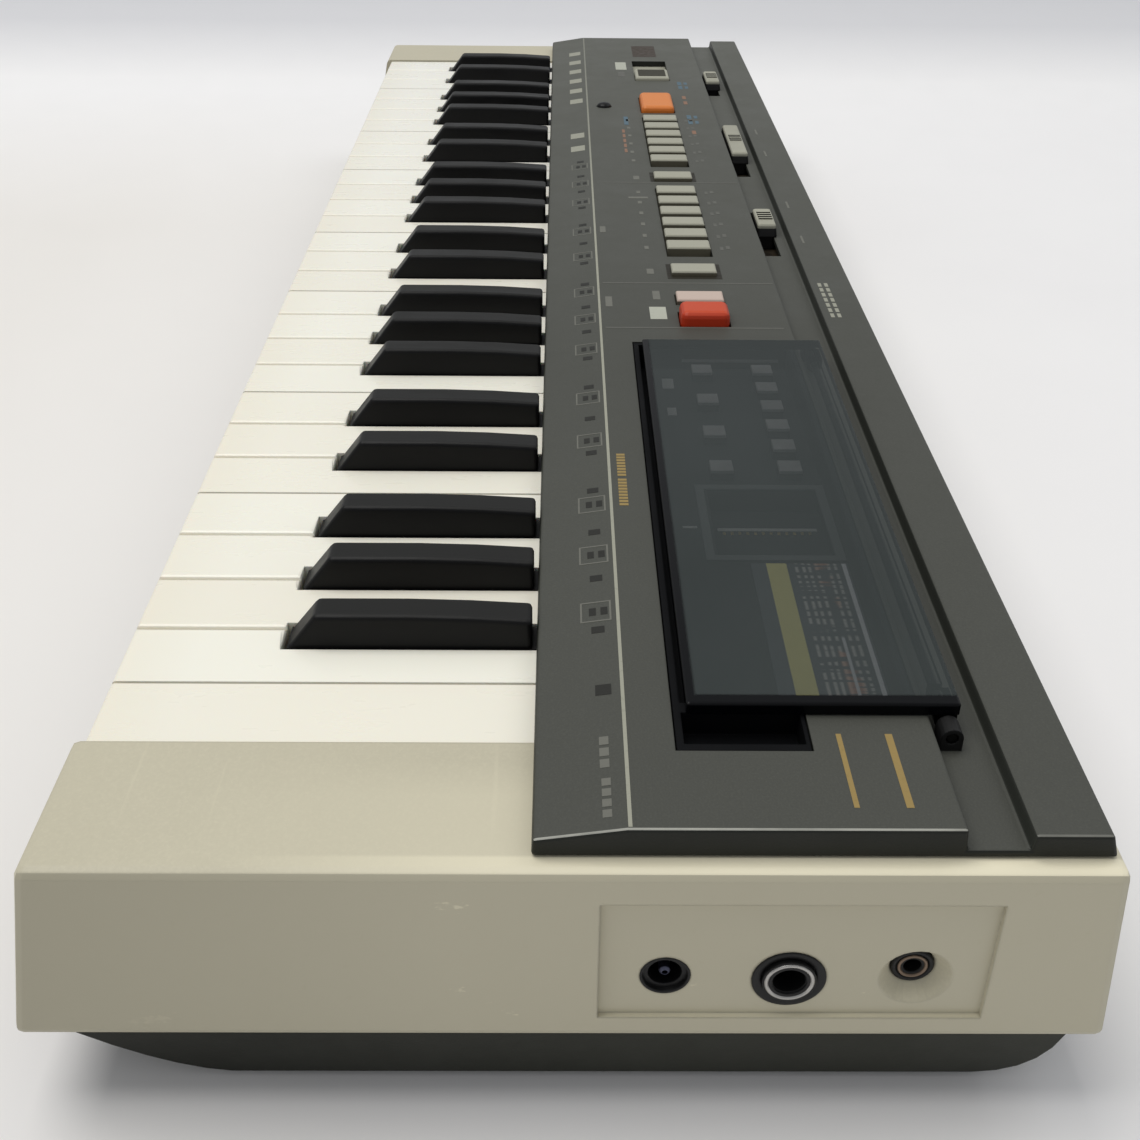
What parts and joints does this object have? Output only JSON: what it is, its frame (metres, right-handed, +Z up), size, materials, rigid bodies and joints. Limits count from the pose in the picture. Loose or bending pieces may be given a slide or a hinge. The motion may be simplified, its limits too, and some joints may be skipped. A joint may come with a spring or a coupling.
{
  "type": "portable keyboard",
  "caption": "Slim portable music keyboard with mid-size hinged keys, a button panel, sliders, a smoked flip-up pack cover and sockets in a recessed end bay.",
  "frame": {"origin": "under the middle of the case's footprint, on the surface that the feet stand on", "axes": "+X towards the treble end with the sockets, -Y towards the player, +Z up"},
  "size_m": [0.661, 0.2079, 0.074],
  "materials": {
    "cream_case": "satin cream ABS",
    "dark_case": "satin dark olive grey ABS",
    "panel": "satin dark grey paint on ABS",
    "bay": "matt blue grey",
    "smoked": "clear smoked acrylic, gloss",
    "white_key": "ivory white, semi gloss",
    "black_key": "black, semi gloss",
    "light_plastic": "satin light grey",
    "red_plastic": "satin red orange",
    "orange_plastic": "satin orange",
    "black_plastic": "satin black",
    "steel": "plated sheet steel",
    "board": "paper-based circuit board",
    "speaker": "matt black"
  },
  "bodies": {
    "case": {"upper_case": "cream_case", "lower_case": "dark_case", "battery_door": "dark_case", "control_panel": "panel", "pack_tray": "bay", "hinge_rod": "steel", "tone_buttons": "light_plastic", "rhythm_buttons": "light_plastic", "key_chassis": "steel", "low_white_keys": "white_key", "low_black_keys": "black_key", "circuit_board": "board", "speaker": "speaker", "dc_jack": "black_plastic", "phones_jack": "black_plastic", "output_jack": "black_plastic"},
    "pack_lid": {"pack_lid": "smoked"},
    "volume_slider": {"volume_slider": "light_plastic"},
    "mode_slider": {"mode_slider": "light_plastic"},
    "tempo_slider": {"tempo_slider": "light_plastic"},
    "start_button": {"start_button": "red_plastic"},
    "chord_button": {"chord_button": "orange_plastic"},
    "power_switch": {"power_switch": "light_plastic"},
    "key_c3": {"key_c3": "white_key"},
    "key_c3_sharp": {"key_c3_sharp": "black_key"},
    "key_d3": {"key_d3": "white_key"},
    "key_d3_sharp": {"key_d3_sharp": "black_key"},
    "key_e3": {"key_e3": "white_key"},
    "key_f3": {"key_f3": "white_key"},
    "key_f3_sharp": {"key_f3_sharp": "black_key"},
    "key_g3": {"key_g3": "white_key"},
    "key_g3_sharp": {"key_g3_sharp": "black_key"},
    "key_a3": {"key_a3": "white_key"},
    "key_a3_sharp": {"key_a3_sharp": "black_key"},
    "key_b3": {"key_b3": "white_key"},
    "key_c4": {"key_c4": "white_key"},
    "key_c4_sharp": {"key_c4_sharp": "black_key"},
    "key_d4": {"key_d4": "white_key"},
    "key_d4_sharp": {"key_d4_sharp": "black_key"},
    "key_e4": {"key_e4": "white_key"},
    "key_f4": {"key_f4": "white_key"},
    "key_f4_sharp": {"key_f4_sharp": "black_key"},
    "key_g4": {"key_g4": "white_key"},
    "key_g4_sharp": {"key_g4_sharp": "black_key"},
    "key_a4": {"key_a4": "white_key"},
    "key_a4_sharp": {"key_a4_sharp": "black_key"},
    "key_b4": {"key_b4": "white_key"},
    "key_c5": {"key_c5": "white_key"},
    "key_c5_sharp": {"key_c5_sharp": "black_key"},
    "key_d5": {"key_d5": "white_key"},
    "key_d5_sharp": {"key_d5_sharp": "black_key"},
    "key_e5": {"key_e5": "white_key"},
    "key_f5": {"key_f5": "white_key"},
    "key_f5_sharp": {"key_f5_sharp": "black_key"},
    "key_g5": {"key_g5": "white_key"},
    "key_g5_sharp": {"key_g5_sharp": "black_key"},
    "key_a5": {"key_a5": "white_key"},
    "key_a5_sharp": {"key_a5_sharp": "black_key"},
    "key_b5": {"key_b5": "white_key"},
    "key_c6": {"key_c6": "white_key"}
  },
  "joints": [
    {"name": "pack_lid_hinge", "type": "hinge", "parent": "case", "child": "pack_lid", "pos_m": [0.2055, 0.075, 0.068], "axis": [-1, 0, 0], "range_deg": [0, 95]},
    {"name": "volume_slide", "type": "slide", "parent": "case", "child": "volume_slider", "axis": [1, 0, 0], "range_m": [-0.02, 0.02]},
    {"name": "mode_slide", "type": "slide", "parent": "case", "child": "mode_slider", "axis": [1, 0, 0], "range_m": [0, 0.018]},
    {"name": "tempo_slide", "type": "slide", "parent": "case", "child": "tempo_slider", "axis": [1, 0, 0], "range_m": [-0.02, 0.01]},
    {"name": "start_press", "type": "slide", "parent": "case", "child": "start_button", "axis": [0, 0, -1], "range_m": [0, 0.002], "stiffness_N_per_m": 400, "springref_m": -0.001},
    {"name": "chord_press", "type": "slide", "parent": "case", "child": "chord_button", "axis": [0, 0, -1], "range_m": [0, 0.002], "stiffness_N_per_m": 400, "springref_m": -0.001},
    {"name": "power_slide", "type": "slide", "parent": "case", "child": "power_switch", "axis": [-1, 0, 0], "range_m": [0, 0.0243]},
    {"name": "key_c3_press", "type": "hinge", "parent": "case", "child": "key_c3", "pos_m": [-0.1398, 0.0158, 0.0499], "axis": [1, 0, 0], "range_deg": [0, 4], "stiffness_Nm_per_rad": 0.35, "springref_deg": -9.17},
    {"name": "key_c3_sharp_press", "type": "hinge", "parent": "case", "child": "key_c3_sharp", "pos_m": [-0.1327, 0.0158, 0.0499], "axis": [1, 0, 0], "range_deg": [0, 4], "stiffness_Nm_per_rad": 0.35, "springref_deg": -9.17},
    {"name": "key_d3_press", "type": "hinge", "parent": "case", "child": "key_d3", "pos_m": [-0.1196, 0.0158, 0.0499], "axis": [1, 0, 0], "range_deg": [0, 4], "stiffness_Nm_per_rad": 0.35, "springref_deg": -9.17},
    {"name": "key_d3_sharp_press", "type": "hinge", "parent": "case", "child": "key_d3_sharp", "pos_m": [-0.1065, 0.0158, 0.0499], "axis": [1, 0, 0], "range_deg": [0, 4], "stiffness_Nm_per_rad": 0.35, "springref_deg": -9.17},
    {"name": "key_e3_press", "type": "hinge", "parent": "case", "child": "key_e3", "pos_m": [-0.0994, 0.0158, 0.0499], "axis": [1, 0, 0], "range_deg": [0, 4], "stiffness_Nm_per_rad": 0.35, "springref_deg": -9.17},
    {"name": "key_f3_press", "type": "hinge", "parent": "case", "child": "key_f3", "pos_m": [-0.0792, 0.0158, 0.0499], "axis": [1, 0, 0], "range_deg": [0, 4], "stiffness_Nm_per_rad": 0.35, "springref_deg": -9.17},
    {"name": "key_f3_sharp_press", "type": "hinge", "parent": "case", "child": "key_f3_sharp", "pos_m": [-0.0723, 0.0158, 0.0499], "axis": [1, 0, 0], "range_deg": [0, 4], "stiffness_Nm_per_rad": 0.35, "springref_deg": -9.17},
    {"name": "key_g3_press", "type": "hinge", "parent": "case", "child": "key_g3", "pos_m": [-0.059, 0.0158, 0.0499], "axis": [1, 0, 0], "range_deg": [0, 4], "stiffness_Nm_per_rad": 0.35, "springref_deg": -9.17},
    {"name": "key_g3_sharp_press", "type": "hinge", "parent": "case", "child": "key_g3_sharp", "pos_m": [-0.0489, 0.0158, 0.0499], "axis": [1, 0, 0], "range_deg": [0, 4], "stiffness_Nm_per_rad": 0.35, "springref_deg": -9.17},
    {"name": "key_a3_press", "type": "hinge", "parent": "case", "child": "key_a3", "pos_m": [-0.0388, 0.0158, 0.0499], "axis": [1, 0, 0], "range_deg": [0, 4], "stiffness_Nm_per_rad": 0.35, "springref_deg": -9.17},
    {"name": "key_a3_sharp_press", "type": "hinge", "parent": "case", "child": "key_a3_sharp", "pos_m": [-0.0255, 0.0158, 0.0499], "axis": [1, 0, 0], "range_deg": [0, 4], "stiffness_Nm_per_rad": 0.35, "springref_deg": -9.17},
    {"name": "key_b3_press", "type": "hinge", "parent": "case", "child": "key_b3", "pos_m": [-0.0186, 0.0158, 0.0499], "axis": [1, 0, 0], "range_deg": [0, 4], "stiffness_Nm_per_rad": 0.35, "springref_deg": -9.17},
    {"name": "key_c4_press", "type": "hinge", "parent": "case", "child": "key_c4", "pos_m": [0.0016, 0.0158, 0.0499], "axis": [1, 0, 0], "range_deg": [0, 4], "stiffness_Nm_per_rad": 0.35, "springref_deg": -9.17},
    {"name": "key_c4_sharp_press", "type": "hinge", "parent": "case", "child": "key_c4_sharp", "pos_m": [0.0087, 0.0158, 0.0499], "axis": [1, 0, 0], "range_deg": [0, 4], "stiffness_Nm_per_rad": 0.35, "springref_deg": -9.17},
    {"name": "key_d4_press", "type": "hinge", "parent": "case", "child": "key_d4", "pos_m": [0.0218, 0.0158, 0.0499], "axis": [1, 0, 0], "range_deg": [0, 4], "stiffness_Nm_per_rad": 0.35, "springref_deg": -9.17},
    {"name": "key_d4_sharp_press", "type": "hinge", "parent": "case", "child": "key_d4_sharp", "pos_m": [0.0349, 0.0158, 0.0499], "axis": [1, 0, 0], "range_deg": [0, 4], "stiffness_Nm_per_rad": 0.35, "springref_deg": -9.17},
    {"name": "key_e4_press", "type": "hinge", "parent": "case", "child": "key_e4", "pos_m": [0.042, 0.0158, 0.0499], "axis": [1, 0, 0], "range_deg": [0, 4], "stiffness_Nm_per_rad": 0.35, "springref_deg": -9.17},
    {"name": "key_f4_press", "type": "hinge", "parent": "case", "child": "key_f4", "pos_m": [0.0622, 0.0158, 0.0499], "axis": [1, 0, 0], "range_deg": [0, 4], "stiffness_Nm_per_rad": 0.35, "springref_deg": -9.17},
    {"name": "key_f4_sharp_press", "type": "hinge", "parent": "case", "child": "key_f4_sharp", "pos_m": [0.0691, 0.0158, 0.0499], "axis": [1, 0, 0], "range_deg": [0, 4], "stiffness_Nm_per_rad": 0.35, "springref_deg": -9.17},
    {"name": "key_g4_press", "type": "hinge", "parent": "case", "child": "key_g4", "pos_m": [0.0824, 0.0158, 0.0499], "axis": [1, 0, 0], "range_deg": [0, 4], "stiffness_Nm_per_rad": 0.35, "springref_deg": -9.17},
    {"name": "key_g4_sharp_press", "type": "hinge", "parent": "case", "child": "key_g4_sharp", "pos_m": [0.0925, 0.0158, 0.0499], "axis": [1, 0, 0], "range_deg": [0, 4], "stiffness_Nm_per_rad": 0.35, "springref_deg": -9.17},
    {"name": "key_a4_press", "type": "hinge", "parent": "case", "child": "key_a4", "pos_m": [0.1026, 0.0158, 0.0499], "axis": [1, 0, 0], "range_deg": [0, 4], "stiffness_Nm_per_rad": 0.35, "springref_deg": -9.17},
    {"name": "key_a4_sharp_press", "type": "hinge", "parent": "case", "child": "key_a4_sharp", "pos_m": [0.1159, 0.0158, 0.0499], "axis": [1, 0, 0], "range_deg": [0, 4], "stiffness_Nm_per_rad": 0.35, "springref_deg": -9.17},
    {"name": "key_b4_press", "type": "hinge", "parent": "case", "child": "key_b4", "pos_m": [0.1228, 0.0158, 0.0499], "axis": [1, 0, 0], "range_deg": [0, 4], "stiffness_Nm_per_rad": 0.35, "springref_deg": -9.17},
    {"name": "key_c5_press", "type": "hinge", "parent": "case", "child": "key_c5", "pos_m": [0.143, 0.0158, 0.0499], "axis": [1, 0, 0], "range_deg": [0, 4], "stiffness_Nm_per_rad": 0.35, "springref_deg": -9.17},
    {"name": "key_c5_sharp_press", "type": "hinge", "parent": "case", "child": "key_c5_sharp", "pos_m": [0.1501, 0.0158, 0.0499], "axis": [1, 0, 0], "range_deg": [0, 4], "stiffness_Nm_per_rad": 0.35, "springref_deg": -9.17},
    {"name": "key_d5_press", "type": "hinge", "parent": "case", "child": "key_d5", "pos_m": [0.1632, 0.0158, 0.0499], "axis": [1, 0, 0], "range_deg": [0, 4], "stiffness_Nm_per_rad": 0.35, "springref_deg": -9.17},
    {"name": "key_d5_sharp_press", "type": "hinge", "parent": "case", "child": "key_d5_sharp", "pos_m": [0.1763, 0.0158, 0.0499], "axis": [1, 0, 0], "range_deg": [0, 4], "stiffness_Nm_per_rad": 0.35, "springref_deg": -9.17},
    {"name": "key_e5_press", "type": "hinge", "parent": "case", "child": "key_e5", "pos_m": [0.1834, 0.0158, 0.0499], "axis": [1, 0, 0], "range_deg": [0, 4], "stiffness_Nm_per_rad": 0.35, "springref_deg": -9.17},
    {"name": "key_f5_press", "type": "hinge", "parent": "case", "child": "key_f5", "pos_m": [0.2036, 0.0158, 0.0499], "axis": [1, 0, 0], "range_deg": [0, 4], "stiffness_Nm_per_rad": 0.35, "springref_deg": -9.17},
    {"name": "key_f5_sharp_press", "type": "hinge", "parent": "case", "child": "key_f5_sharp", "pos_m": [0.2105, 0.0158, 0.0499], "axis": [1, 0, 0], "range_deg": [0, 4], "stiffness_Nm_per_rad": 0.35, "springref_deg": -9.17},
    {"name": "key_g5_press", "type": "hinge", "parent": "case", "child": "key_g5", "pos_m": [0.2238, 0.0158, 0.0499], "axis": [1, 0, 0], "range_deg": [0, 4], "stiffness_Nm_per_rad": 0.35, "springref_deg": -9.17},
    {"name": "key_g5_sharp_press", "type": "hinge", "parent": "case", "child": "key_g5_sharp", "pos_m": [0.2339, 0.0158, 0.0499], "axis": [1, 0, 0], "range_deg": [0, 4], "stiffness_Nm_per_rad": 0.35, "springref_deg": -9.17},
    {"name": "key_a5_press", "type": "hinge", "parent": "case", "child": "key_a5", "pos_m": [0.244, 0.0158, 0.0499], "axis": [1, 0, 0], "range_deg": [0, 4], "stiffness_Nm_per_rad": 0.35, "springref_deg": -9.17},
    {"name": "key_a5_sharp_press", "type": "hinge", "parent": "case", "child": "key_a5_sharp", "pos_m": [0.2573, 0.0158, 0.0499], "axis": [1, 0, 0], "range_deg": [0, 4], "stiffness_Nm_per_rad": 0.35, "springref_deg": -9.17},
    {"name": "key_b5_press", "type": "hinge", "parent": "case", "child": "key_b5", "pos_m": [0.2642, 0.0158, 0.0499], "axis": [1, 0, 0], "range_deg": [0, 4], "stiffness_Nm_per_rad": 0.35, "springref_deg": -9.17},
    {"name": "key_c6_press", "type": "hinge", "parent": "case", "child": "key_c6", "pos_m": [0.2844, 0.0158, 0.0499], "axis": [1, 0, 0], "range_deg": [0, 4], "stiffness_Nm_per_rad": 0.35, "springref_deg": -9.17}
  ]
}
